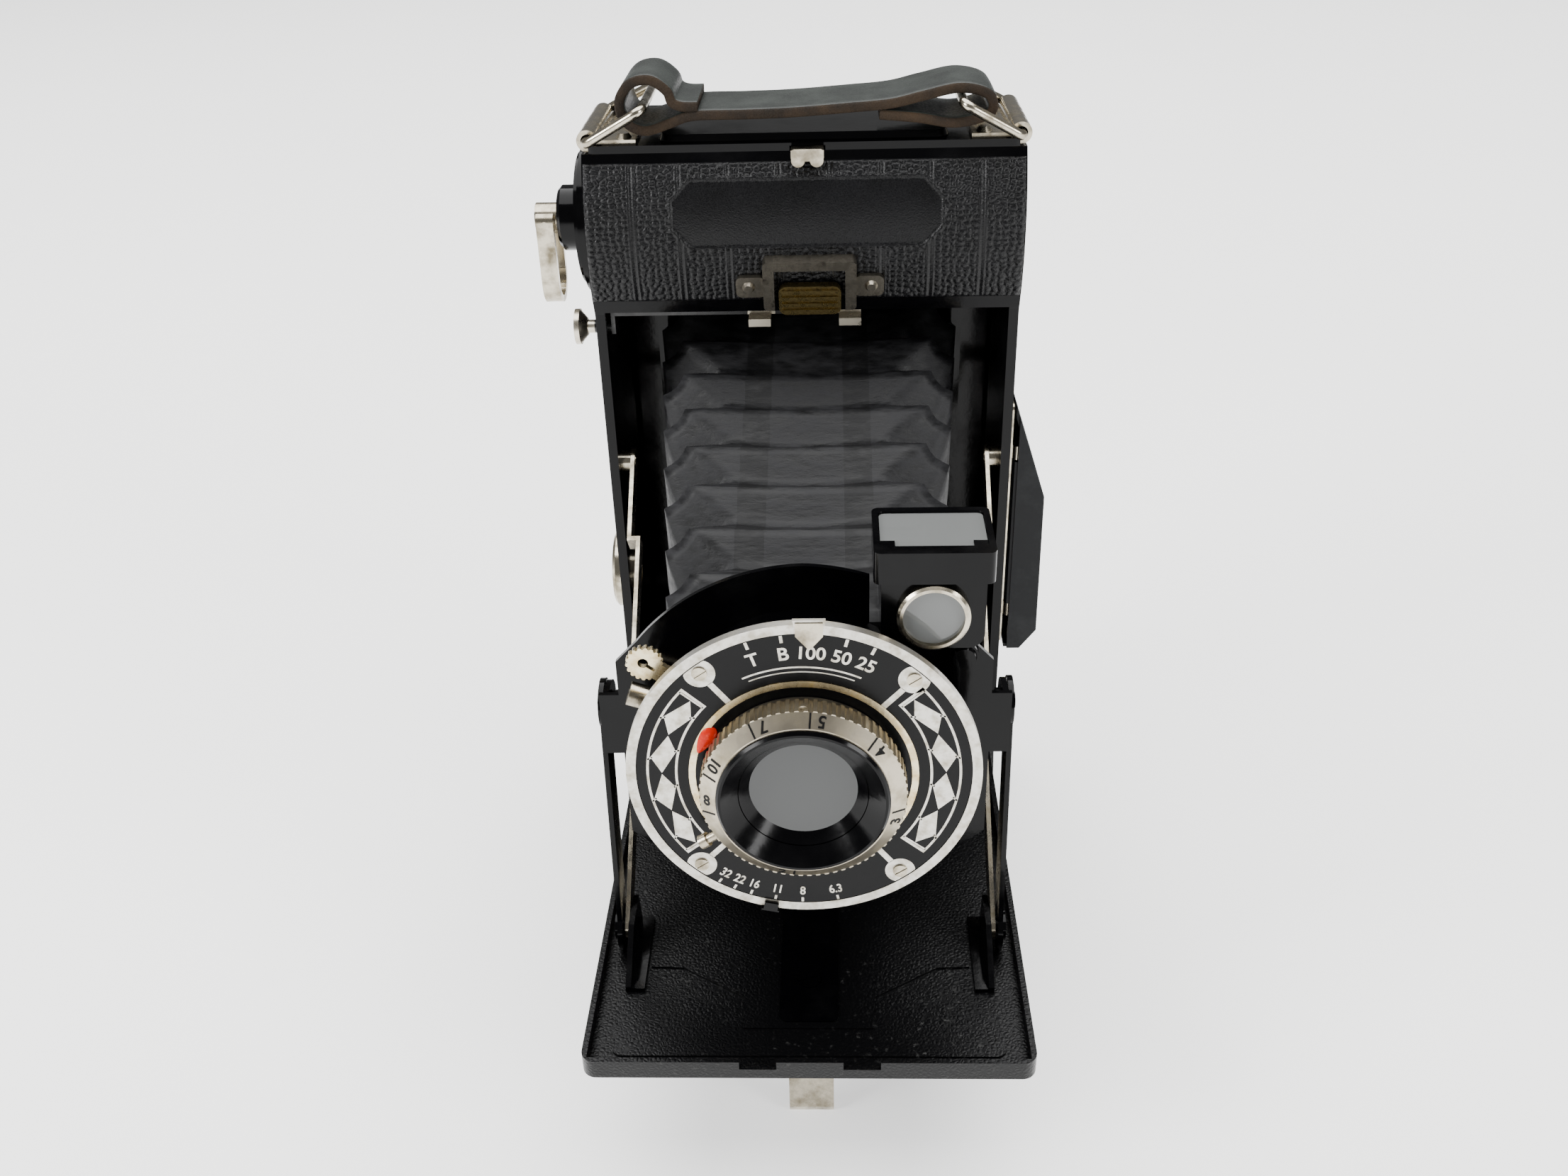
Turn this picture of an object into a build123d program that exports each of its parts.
from build123d import *
import math
import os

# Folding roll-film camera for 6 x 9 cm pictures, standing upright on its end plate and on the
# drop leg of its open bed. All sizes are in millimetres.
# +X is the viewer's right, -Y is where the lens looks, +Z is up; z = 0 is the table.

os.makedirs("parts", exist_ok=True)

# ---------------------------------------------------------------- driving dimensions
body_width = 82.0          # over the side walls
side_wall = 1.9
sheet = 1.2                # rolled casing sheet
shell_rear = 29.5          # where the side walls end and the back door begins
door_depth = 5.7
end_plate = 1.6            # thickness of the plates on the two ends
chamber_height = 27.2      # film chamber, over its end wall and its partition
opening_height = 100.6     # bed opening, between the partitions' lips
lip = 1.2                  # thickness of the partitions
roll_bulge = 3.2           # how far the chamber fronts stand forward
spool_flange_r = 12.5      # 120 roll film
spool_core_r = 5.8
spool_length = 62.6
gate_width = 56.0          # picture gate
gate_height = 85.0
film_plane = 30.2

bed_gap = 0.5              # between the closed bed and the opening's sides
bed_skin = 0.9
bed_rim = 3.8              # height of the bed tray's rim
bed_drop = 0.9             # from the hinge axis down to the bed's underside
hinge_y = -0.2
hinge_r = 1.1
pin_r = 0.6
fit = 0.06                 # radial clearance of a running fit
slack = 0.3                # free gap between pieces that pass each other

standard_y = -70.0         # front of the lens standard's plate
shutter_depth = 13.2
face_thickness = 0.8
face_r = 28.5
lens_height = 82.9
screw_circle_r = 25.9
screw_angle = 49.2         # of the face screws above and below the horizontal
face_turn = -2.4           # the whole shutter sits turned a little clockwise
ring_r = 16.4              # focusing ring
ring_depth = 6.4
bezel_r = 13.7
glass_r = 8.6

arm_pivot_y = -68.3        # where the arms turn on the bed
arm_pivot_z = 35.8
ear_pivot_y = -63.4        # where the arms carry the standard
ear_pivot_z = 83.0
arm_thickness = 0.9
arm_width = 6.0
arm_end_r = 4.3
stay_pivot_y = 5.0         # where the side stays turn on the body
stay_pivot_z = 96.5
stay_width = 5.0
stay_thickness = 0.8
stay_upper_length = 46.2
rivet_r = 1.4

leg_width = 8.4
leg_thickness = 1.0
leg_pivot_y = -79.5
leg_foot_y = -81.5

# ---------------------------------------------------------------- places worked out from them
half = body_width / 2
inner = half - side_wall
shell_bottom = end_plate
opening_bottom = shell_bottom + chamber_height + lip
opening_top = opening_bottom + opening_height
shell_top = opening_top + lip + chamber_height + 1.6
door_rear = shell_rear + 0.3 + door_depth
spool_y = spool_flange_r + 1.7
spool_low_z = shell_bottom + sheet + spool_flange_r + 0.7
spool_high_z = opening_top + lip + spool_flange_r + 1.0
hinge_z = opening_bottom + hinge_r + 0.1
bed_under = hinge_z - bed_drop
bed_floor = bed_under + bed_skin
bed_half = inner - bed_gap
bed_front = hinge_y - (opening_top - hinge_z) + 0.4
face_back = standard_y - shutter_depth
face_front = face_back - face_thickness
gate_z = (opening_bottom + opening_top) / 2
arm_x = inner - 4.7         # inner face of the arms
stay_x = arm_x - 1.1        # inner face of the lower stays
ear_x = stay_x              # inner face of the standard's ears
bracket_x = stay_x - 1.2    # inner face of the bed brackets


def front(y):
    """Plane facing the viewer at depth y: its own x and y are the camera's X and Z."""
    return Plane.XZ.offset(-y)


def side(x):
    """Plane facing +X at x: its own x and y are the camera's Y and Z."""
    return Plane.YZ.offset(x)


def save(piece, label):
    piece.part.label = label
    export_step(piece.part, f"parts/{label}.step")


# ---------------------------------------------------------------- body shell
mid_low = (shell_bottom + opening_bottom) / 2
mid_high = (shell_top + opening_top) / 2
front_set = 1.4             # the end edges of the shell stand back this far


def shell_profile(inset):
    """Side outline of the casing, taken in by the sheet's thickness."""
    low, high = shell_bottom + inset, shell_top - inset
    with BuildLine() as outline:
        ThreePointArc((front_set + inset, low), (-roll_bulge + inset, mid_low), (inset, opening_bottom + 0.4))
        Line((inset, opening_bottom + 0.4), (inset, opening_top - 0.4))
        ThreePointArc((inset, opening_top - 0.4), (-roll_bulge + inset, mid_high), (front_set + inset, high))
        Polyline((front_set + inset, high), (shell_rear, high), (shell_rear, low), (front_set + inset, low))
    return outline.line


boss_r = 14.2
boss_proud = 2.7
boss_face_x = -half - boss_proud
key_boss_r = 6.35
key_boss_depth = 4.6
shaft_r = 2.6
partition_rear = 24.4
stud_y, stud_z = stay_pivot_y, opening_top - 4.5
stud_stem_r = 1.3

with BuildPart() as body_shell:
    with BuildSketch(side(-half)):
        with BuildLine():
            add(shell_profile(0))
        make_face()
    extrude(amount=body_width)
    # the bed's well, open in front
    with BuildSketch(side(-inner)):
        with Locations((shell_rear / 2, gate_z)):
            Rectangle(shell_rear + 2 * roll_bulge + 4, opening_height)
    extrude(amount=2 * inner, mode=Mode.SUBTRACT)
    # the film chambers, open at the back
    for z_low, z_high in ((shell_bottom, opening_bottom - lip), (opening_top + lip, shell_top)):
        with BuildSketch(side(-inner)) as hollow:
            with BuildLine():
                add(shell_profile(sheet))
            make_face()
            with Locations(((shell_rear - sheet) / 2, (z_low + z_high) / 2)):
                Rectangle(shell_rear + 4 * roll_bulge, z_high - z_low, mode=Mode.INTERSECT)
        extrude(amount=2 * inner, mode=Mode.SUBTRACT)
    # partitions stop short of the film rollers
    with BuildSketch(side(-inner)):
        with Locations(((partition_rear + shell_rear) / 2 + 1, gate_z)):
            Rectangle(shell_rear - partition_rear + 2, opening_height + 2 * lip + 1)
    extrude(amount=2 * inner, mode=Mode.SUBTRACT)
    # stepped round bosses over the spool ends, on the key side
    for z in (spool_low_z, spool_high_z):
        for r, proud in ((boss_r, boss_proud - 0.9), (boss_r - 1.6, boss_proud)):
            with BuildSketch(side(-half)):
                with Locations((spool_y, z)):
                    Circle(r)
            extrude(amount=-proud)
    # bearing of the winding key
    with BuildSketch(side(boss_face_x)):
        with Locations((spool_y, spool_high_z)):
            Circle(key_boss_r)
    extrude(amount=-key_boss_depth)
    chamfer(body_shell.faces().sort_by(Axis.X)[0].edges(), 0.7)
    # dished floor of the well, where the closed shutter sits
    with BuildSketch(Plane.XY.offset(opening_bottom - 0.7)):
        with Locations((0, (4.5 + partition_rear) / 2)):
            Rectangle(44, partition_rear - 4.5 + 0.02)
    extrude(amount=1, mode=Mode.SUBTRACT)
    # bores: winding shaft, supply pin, tripod socket and the release stud
    with BuildSketch(side(boss_face_x - key_boss_depth)):
        with Locations((spool_y, spool_high_z)):
            Circle(shaft_r + fit)
        with Locations((stud_y, stud_z)):
            Circle(stud_stem_r + fit)
    extrude(amount=side_wall + boss_proud + key_boss_depth, mode=Mode.SUBTRACT)
    with BuildSketch(side(-half)):
        with Locations((11.0, 67.5)):
            Circle(5.4)
    extrude(amount=side_wall, mode=Mode.SUBTRACT)
save(body_shell, "body_shell")


# ---------------------------------------------------------------- end plates
plate_mid = (front_set + door_rear) / 2
plate_span = door_rear - front_set
plate_thickness = 1.4
plate_top = shell_top + plate_thickness
panel_half = 27.0
panel_rise = 1.2
latch_x = 0.8
latch_width = 6.0
latch_thickness = 0.7
lug_x = half - 1.1          # axis of the rolled lugs
lug_r = 2.0
lug_z = shell_top + lug_r + 0.1
lug_front, lug_rear = 2.6, 26.0

with BuildPart() as top_plate:
    with BuildSketch(Plane.XY.offset(shell_top)):
        with Locations((0, plate_mid)):
            RectangleRounded(body_width, plate_span, 2.5)
        # the ends are cut away for the rolled lugs
        for x in (-half, half):
            with Locations((x, (lug_front + lug_rear) / 2 + 1.8)):
                Rectangle(7.8, lug_rear - lug_front + 5.4, mode=Mode.SUBTRACT)
    extrude(amount=plate_thickness)
    with BuildSketch(Plane.XY.offset(plate_top)):
        with Locations((0, plate_mid)):
            RectangleRounded(2 * panel_half, plate_span - 5, 3)
    extrude(amount=panel_rise, taper=25)
    with BuildSketch(Plane.XY.offset(shell_top)):
        with Locations((latch_x, plate_mid)):
            Rectangle(latch_width + 2 * slack, plate_span + 2)
    extrude(amount=latch_thickness + 0.2, mode=Mode.SUBTRACT)
save(top_plate, "top_plate")

door_hinge_y, door_hinge_z = 31.4, 4.7
door_knuckle_r = 1.4
plate_foot = -2.0           # the foot plate reaches forward under the casing's bulge
body_knuckles = (-24, 24)   # middles of the body's knuckles along the door hinge
knuckle_length = 9.4

with BuildPart() as bottom_plate:
    with BuildSketch(Plane.XY):
        with Locations((0, (plate_foot + shell_rear) / 2)):
            Rectangle(body_width, shell_rear - plate_foot)
    extrude(amount=end_plate)
    fillet(bottom_plate.edges().filter_by(Axis.Z).group_by(Axis.Y)[0], 2.5)
    # knuckles that carry the back door
    for x in body_knuckles:
        with BuildSketch(side(x - knuckle_length / 2)):
            with Locations((door_hinge_y, door_hinge_z)):
                Circle(door_knuckle_r)
            with Locations(((shell_rear + door_hinge_y) / 2, door_hinge_z / 2)):
                Rectangle(door_hinge_y - shell_rear, door_hinge_z)
        extrude(amount=knuckle_length)
    # hinge pin through all the knuckles
    with BuildSketch(side(-36)):
        with Locations((door_hinge_y, door_hinge_z)):
            Circle(pin_r)
    extrude(amount=72)
save(bottom_plate, "bottom_plate")


# ---------------------------------------------------------------- coverings of the casing fronts
roll_arc = ThreePointArc((0, opening_top - 0.4), (-roll_bulge, mid_high), (front_set, shell_top))
roll_centre = roll_arc.arc_center
roll_r = roll_arc.radius
hide = 0.4                  # thickness of the leathercloth


low_arc = ThreePointArc((front_set, shell_bottom), (-roll_bulge, mid_low), (0, opening_bottom + 0.4))

with BuildPart() as front_leather:
    for centre_z, z_low, z_high in (
        (roll_centre.Y, opening_top + 2.8, shell_top - 1.6),
        (low_arc.arc_center.Y, shell_bottom + 1.6, opening_bottom - 2.8),
    ):
        with BuildSketch(side(-half + 0.2)):
            with Locations((roll_centre.X, centre_z)):
                Circle(roll_r + hide)
                Circle(roll_r, mode=Mode.SUBTRACT)
            with Locations((-roll_bulge, (z_low + z_high) / 2)):
                Rectangle(12, z_high - z_low, mode=Mode.INTERSECT)
        extrude(amount=body_width - 0.4)
save(front_leather, "front_leather")


# ---------------------------------------------------------------- lugs, wire loops and the strap
rivet_dome = 0.8
with BuildPart() as strap_lugs:
    for turn in (1, -1):
        with BuildSketch(front(lug_rear)):
            with Locations((turn * lug_x, lug_z)):
                Circle(lug_r)
            with Locations((turn * (lug_x - 4.5), plate_top + 0.4)):
                Rectangle(9, 0.8)
            with Locations((turn * lug_x, lug_z)):
                Circle(lug_r - 0.8, mode=Mode.SUBTRACT)
        extrude(amount=lug_rear - lug_front)
    # rivets that hold the lugs on the top plate
    for x in (-lug_x + 6.6, lug_x - 6.6):
        for y in (5.0, 23.6):
            with BuildSketch(Plane.XY.offset(plate_top + 0.8)):
                with Locations((x, y)):
                    Circle(1.5)
            extrude(amount=rivet_dome, taper=35)
save(strap_lugs, "strap_lugs")

wire_r = 0.9
loop_x, loop_z = 28.9, 169.0
loop_out, loop_in = 5.4, 3.6


def wire_loop(turn):
    """Closed wire through one lug and one end of the strap."""
    reach = Vector(turn * (loop_x - lug_x), 0, loop_z - lug_z)
    ring = Plane(origin=(turn * lug_x, 14.3, lug_z), x_dir=(0, 1, 0), z_dir=reach.cross(Vector(0, 1, 0)))
    over = 1 if ring.to_local_coords(Vector(turn * loop_x, 14.3, loop_z)).Y > 0 else -1
    far = over * reach.length
    with BuildPart() as loop:
        with BuildLine(ring) as path:
            FilletPolyline((14.4, 0), (6.6, far), (-16.5, far), (-14.4, 0), radius=1.6, close=True)
        with BuildSketch(Plane(origin=path.line @ 0, z_dir=path.line % 0)):
            Circle(wire_r)
        sweep(transition=Transition.ROUND)
    return loop


wire_loop_left = wire_loop(-1)
save(wire_loop_left, "wire_loop_left")
wire_loop_right = wire_loop(1)
save(wire_loop_right, "wire_loop_right")

strap_width = 17.0
strap_front = 1.0
with BuildPart() as strap:
    with BuildSketch(front(strap_front + strap_width)):
        with BuildLine():
            Spline((-26.5, 171.2), (-14, 171.3), (0, 171.8), (13, 171.4), (26, 170.0))
            Line((26, 170.0), (26, 168.0))
            Spline((26, 168.0), (13, 169.0), (0, 169.4), (-14, 168.9), (-24.5, 168.6))
            Line((-24.5, 168.6), (-26.5, 171.2))
        make_face()
        with Locations((-loop_x, loop_z)):
            Circle(loop_out)
            Circle(loop_in, mode=Mode.SUBTRACT)
        with Locations((loop_x - 0.9, loop_z - 0.9)):
            SlotOverall(14.2, 8.0)
            SlotOverall(10.8, 4.6, mode=Mode.SUBTRACT)
    extrude(amount=strap_width)
save(strap, "strap")


# ---------------------------------------------------------------- thumb catch on the upper roll
catch_x = 0.9
catch_z = opening_top + 5.6
catch_rise = math.asin((catch_z - roll_centre.Y) / roll_r)
catch_face = Plane(
    origin=(catch_x, roll_centre.X - roll_r * math.cos(catch_rise), catch_z),
    x_dir=(1, 0, 0),
    z_dir=(0, -math.cos(catch_rise), math.sin(catch_rise)),
)
guard_width, guard_height = 17.6, 10.4
guard_inner = 13.4          # width of its opening, which is open below
guard_bar = 0.5
catch_travel = 1.8

with BuildPart() as latch_guard:
    with BuildSketch(catch_face.offset(-1)):
        with Locations((0, 1.4)):
            RectangleRounded(guard_width, guard_height, 0.9)
        with Locations((0, 0.1 - guard_bar)):
            Rectangle(guard_inner, guard_height, mode=Mode.SUBTRACT)
        for x in (-11.2, 11.2):
            with Locations((x, 0.6)):
                RectangleRounded(5.6, 4.4, 1.2)
    extrude(amount=1 + hide + 1.0)
    with BuildSketch(catch_face.offset(hide + 0.9)):
        with Locations((0, 1.4)):
            RectangleRounded(guard_width, guard_height, 0.9)
        with Locations((0, 0.1 - guard_bar)):
            Rectangle(guard_inner, guard_height, mode=Mode.SUBTRACT)
    extrude(amount=1.4)
    with BuildSketch(side(catch_x - 20)):
        with Locations((roll_centre.X, roll_centre.Y)):
            Circle(roll_r + hide)
    extrude(amount=40, mode=Mode.SUBTRACT)
    for x in (-11.6, 11.6):
        with BuildSketch(catch_face.offset(hide + 1.0)):
            with Locations((x, 0.6)):
                Circle(1.2)
        extrude(amount=0.7, taper=30)
save(latch_guard, "latch_guard")

with BuildPart() as thumb_catch:
    with BuildSketch(catch_face.offset(hide + 0.75)):
        with Locations((0, -1.6)):
            RectangleRounded(11.8, 6.2, 1.5)
    extrude(amount=1.6)
    # cross ribs for the thumb
    for row in range(4):
        with BuildSketch(catch_face.offset(hide + 2.3)):
            with Locations((0, -3.7 + 1.4 * row)):
                Rectangle(10.6, 0.7)
        extrude(amount=0.5)
save(thumb_catch, "thumb_catch")


# ---------------------------------------------------------------- bed release: stud, bar and hooks
stud_travel = 1.2
bar_z = opening_top - 0.4 - 1.6
hook_width = 4.3
notch_lefts = (-11.6, 6.0)
notch_width = 6.3

with BuildPart() as release_stud:
    with BuildSketch(side(-half - 4.8)):
        with Locations((stud_y, stud_z)):
            Circle(3.5)
    extrude(amount=1.0)
    with BuildSketch(side(-half - 3.8)):
        with Locations((stud_y, stud_z)):
            Circle(3.3)
    extrude(amount=1.4, taper=50)
    with BuildSketch(side(-half - 4.0)):
        with Locations((stud_y, stud_z)):
            Circle(stud_stem_r)
    extrude(amount=4.0 + side_wall + 1.0)
    # arm from the stem up to the bar
    with BuildSketch(side(-inner + 0.5)):
        with Locations((stud_y + 0.4, (stud_z + bar_z + 0.4) / 2)):
            Rectangle(3.4, bar_z - stud_z + 2.8)
    extrude(amount=0.8)
    with BuildSketch(side(-inner + 0.5)):
        with Locations((stud_y - 0.9, bar_z + 0.8)):
            Rectangle(1.0, 1.6)
    extrude(amount=inner + notch_lefts[1] + 0.4 + hook_width - 0.5)
    for left in notch_lefts:
        with BuildSketch(Plane.XY.offset(bar_z - 1.4)):
            with Locations((left + 0.4 + hook_width / 2, (0.3 + stud_y - 0.4) / 2)):
                Rectangle(hook_width, stud_y - 0.4 - 0.3)
        extrude(amount=1.5)
save(release_stud, "release_stud")


# ---------------------------------------------------------------- tripod socket on the key side
socket_y, socket_z = 11.0, 67.5
socket_thread_r = 4.76
with BuildPart() as tripod_socket:
    with BuildSketch(side(-half - 2.3)):
        with Locations((socket_y, socket_z)):
            Circle(8.5)
    extrude(amount=2.3)
    chamfer(tripod_socket.faces().sort_by(Axis.X)[0].edges(), 0.6)
    with BuildSketch(side(-half)):
        with Locations((socket_y, socket_z)):
            Circle(5.4)
    extrude(amount=side_wall + 0.7)
    with BuildSketch(side(-half - 2.3)):
        with Locations((socket_y, socket_z)):
            Circle(socket_thread_r)
    extrude(amount=2.3 + side_wall + 0.7, mode=Mode.SUBTRACT)
save(tripod_socket, "tripod_socket")


# ---------------------------------------------------------------- folding finder on the other side
leaf_front, leaf_rear = 3.0, 26.0
leaf_low, leaf_high = 50.5, 108.2
leaf_wall = 0.7
leaf_pin_x = half + 1.9
leaf_pin_y = leaf_front + leaf_wall + 0.95
base_front = leaf_pin_y + 0.3
eye_pin_y = leaf_rear - 2.2
leaf_outline = [
    (half + 1.4, leaf_low), (half + 4.8, leaf_low), (half + 8.3, leaf_low + 4.7),
    (half + 8.0, leaf_high - 20.2), (half + 1.4, leaf_high),
]

with BuildPart() as finder_front_leaf:
    with BuildSketch(front(leaf_rear)):
        Polygon(*leaf_outline, align=None)
    extrude(amount=leaf_rear - leaf_front)
    with BuildSketch(front(leaf_rear - leaf_wall)):
        Polygon(
            (half, leaf_low + 0.8), (half + 4.4, leaf_low + 0.8), (half + 7.5, leaf_low + 5.0),
            (half + 7.2, leaf_high - 20.4), (half + 1.3, leaf_high - 2.4), (half, leaf_high - 2.4), align=None,
        )
    extrude(amount=leaf_rear - leaf_front - 2 * leaf_wall, mode=Mode.SUBTRACT)
    # the front wall starts beyond its hinge so that it can turn outward
    with BuildSketch(front(leaf_front + leaf_wall)):
        with Locations((half + 1.1, (leaf_low + leaf_high) / 2)):
            Rectangle(2.0, leaf_high - leaf_low + 2)
    extrude(amount=leaf_wall + 1, mode=Mode.SUBTRACT)
    # window of the finder
    with BuildSketch(side(half + 5)):
        with Locations(((leaf_front + leaf_rear) / 2, 71)):
            RectangleRounded(12, 16, 1)
    extrude(amount=6, mode=Mode.SUBTRACT)
    # hinge knuckle in front
    with BuildSketch(Plane.XY.offset(leaf_low + 11.3)):
        with Locations((leaf_pin_x, leaf_pin_y)):
            Circle(0.8)
        with Locations((leaf_pin_x + 0.2, (leaf_front + leaf_pin_y) / 2 + 0.2)):
            Rectangle(1.2, leaf_pin_y - leaf_front - 0.4)
    extrude(amount=leaf_high - 12.3 - leaf_low - 11.3)
save(finder_front_leaf, "finder_front_leaf")

with BuildPart() as finder_window:
    with BuildSketch(side(half + 7.3)):
        with Locations(((leaf_front + leaf_rear) / 2, 71)):
            RectangleRounded(11.9, 15.9, 1)
    extrude(amount=0.4)
save(finder_window, "finder_window")

with BuildPart() as finder_rear_leaf:
    with BuildSketch(side(leaf_pin_x - 0.3)):
        with Locations((eye_pin_y - 4.2, 81.5)):
            RectangleRounded(8, 10, 1)
        with Locations((eye_pin_y - 4.6, 81.5)):
            Circle(1.6, mode=Mode.SUBTRACT)
    extrude(amount=0.6)
    with BuildSketch(Plane.XY.offset(76.1)):
        with Locations((leaf_pin_x, eye_pin_y)):
            Circle(0.8)
    extrude(amount=10.8)
save(finder_rear_leaf, "finder_rear_leaf")


# ---------------------------------------------------------------- winding key
hub_r = 3.0
key_inner_x = -spool_length / 2 - 0.3
key_outer_x = boss_face_x - key_boss_depth - 0.4 - 4.4

key_pin_x = key_outer_x + 2.2
with BuildPart() as winding_shaft:
    with BuildSketch(side(key_outer_x)):
        with Locations((spool_y, spool_high_z)):
            Circle(hub_r)
    extrude(amount=4.4)
    with BuildSketch(side(key_outer_x + 4.4)):
        with Locations((spool_y, spool_high_z)):
            Circle(shaft_r)
    extrude(amount=-key_outer_x - 4.4 - inner + 0.5)
    with BuildSketch(side(-inner + 0.5)):
        with Locations((spool_y, spool_high_z)):
            Circle(4.2)
    extrude(amount=key_inner_x + inner - 0.5)
    # blade that enters the spool's slot
    with BuildSketch(side(key_inner_x)):
        with Locations((spool_y, spool_high_z)):
            Rectangle(2.0, 6.0)
    extrude(amount=3.3)
    # cross bore for the ring's pin
    with BuildSketch(front(spool_y + 6)):
        with Locations((key_pin_x, spool_high_z)):
            Circle(pin_r + fit)
    extrude(amount=12, mode=Mode.SUBTRACT)
save(winding_shaft, "winding_shaft")

ring_drop = 16.9            # from the hub's axis down to the end of the ring
ring_half = 5.0
with BuildPart() as key_ring:
    # flat strip bent to a D, hung on its pin
    with BuildSketch(side(key_pin_x - 1.7)):
        with Locations((spool_y, spool_high_z - 5.4)):
            RectangleRounded(2 * ring_half, 14.6, 1.6)
        with Locations((spool_y, spool_high_z - ring_drop + ring_half)):
            Circle(ring_half)
        with Locations((spool_y, spool_high_z - 4.4)):
            RectangleRounded(2 * ring_half - 2.6, 15.4, 1.0, mode=Mode.SUBTRACT)
        with Locations((spool_y, spool_high_z - ring_drop + ring_half)):
            Circle(ring_half - 1.3, mode=Mode.SUBTRACT)
    extrude(amount=3.4)
    with BuildSketch(front(spool_y + ring_half)):
        with Locations((key_pin_x, spool_high_z)):
            Circle(pin_r)
    extrude(amount=2 * ring_half)
save(key_ring, "key_ring")


# ---------------------------------------------------------------- film spools and their pins
spool_bore_r = 2.1


def spool(z):
    """Roll-film spool lying along X at one end of the camera."""
    start = -spool_length / 2
    with BuildPart() as reel:
        with BuildSketch(side(start)):
            with Locations((spool_y, z)):
                Circle(spool_core_r)
        extrude(amount=spool_length)
        for x in (start, -start - 1.0):
            with BuildSketch(side(x)):
                with Locations((spool_y, z)):
                    Circle(spool_flange_r)
            extrude(amount=1.0)
        with BuildSketch(side(start)):
            with Locations((spool_y, z)):
                Circle(spool_bore_r)
        extrude(amount=spool_length, mode=Mode.SUBTRACT)
        # driving slots
        with BuildSketch(side(start)):
            with Locations((spool_y, z)):
                Rectangle(2.0, 9.0)
        extrude(amount=4.0, mode=Mode.SUBTRACT)
        # slot that takes the end of the paper
        with BuildSketch(front(spool_y + 8)):
            with Locations((0, z)):
                Rectangle(40, 1.2)
        extrude(amount=16, mode=Mode.SUBTRACT)
    return reel


take_up_spool = spool(spool_high_z)
save(take_up_spool, "take_up_spool")
supply_spool = spool(spool_low_z)
save(supply_spool, "supply_spool")

roller_r = 2.2
roller_y = 26.9
roller_low_z = opening_bottom - 3.4
roller_high_z = opening_top + 3.4


def roller(z):
    """Film roller turning on its own spindle."""
    with BuildPart() as barrel:
        with BuildSketch(side(-inner + 1.2)):
            with Locations((roller_y, z)):
                Circle(roller_r)
                Circle(0.8 + fit, mode=Mode.SUBTRACT)
        extrude(amount=2 * inner - 2.4)
    return barrel


roller_low = roller(roller_low_z)
save(roller_low, "roller_low")
roller_high = roller(roller_high_z)
save(roller_high, "roller_high")


# ---------------------------------------------------------------- film gate
frame_half = 32.6
frame_front = 28.6
with BuildPart() as film_gate_frame:
    with BuildSketch(front(frame_front + 0.8)):
        with Locations((0, gate_z)):
            Rectangle(2 * frame_half, opening_height - 0.1)
            Rectangle(gate_width, gate_height, mode=Mode.SUBTRACT)
        # notches for the arms' pivots and the finder's hood when the bed is closed
        for x in (-frame_half, frame_half):
            with Locations((x, 58.6)):
                Rectangle(5.0, 10.0, mode=Mode.SUBTRACT)
        with Locations((gate_width / 2, 88.2)):
            Rectangle(5.6, 22.4, mode=Mode.SUBTRACT)
    extrude(amount=0.8)
    # flanges fixed to the partitions
    for z in (opening_bottom, opening_top - 0.8):
        with BuildSketch(Plane.XY.offset(z)):
            with Locations((0, (partition_rear + frame_front) / 2)):
                Rectangle(2 * frame_half, frame_front - partition_rear + 0.8)
        extrude(amount=0.8)
        with BuildSketch(Plane.XY.offset(z)):
            for x in (-29, 29):
                with Locations((x, 21)):
                    Rectangle(6, 9)
        extrude(amount=0.8)
save(film_gate_frame, "film_gate_frame")


# ---------------------------------------------------------------- back door
door_low = door_hinge_z - 1.0
door_high = shell_top - 0.4
door_front = shell_rear + 0.3
door_sheet = 1.1
window_z = 47.0
window_r = 5.0

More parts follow.
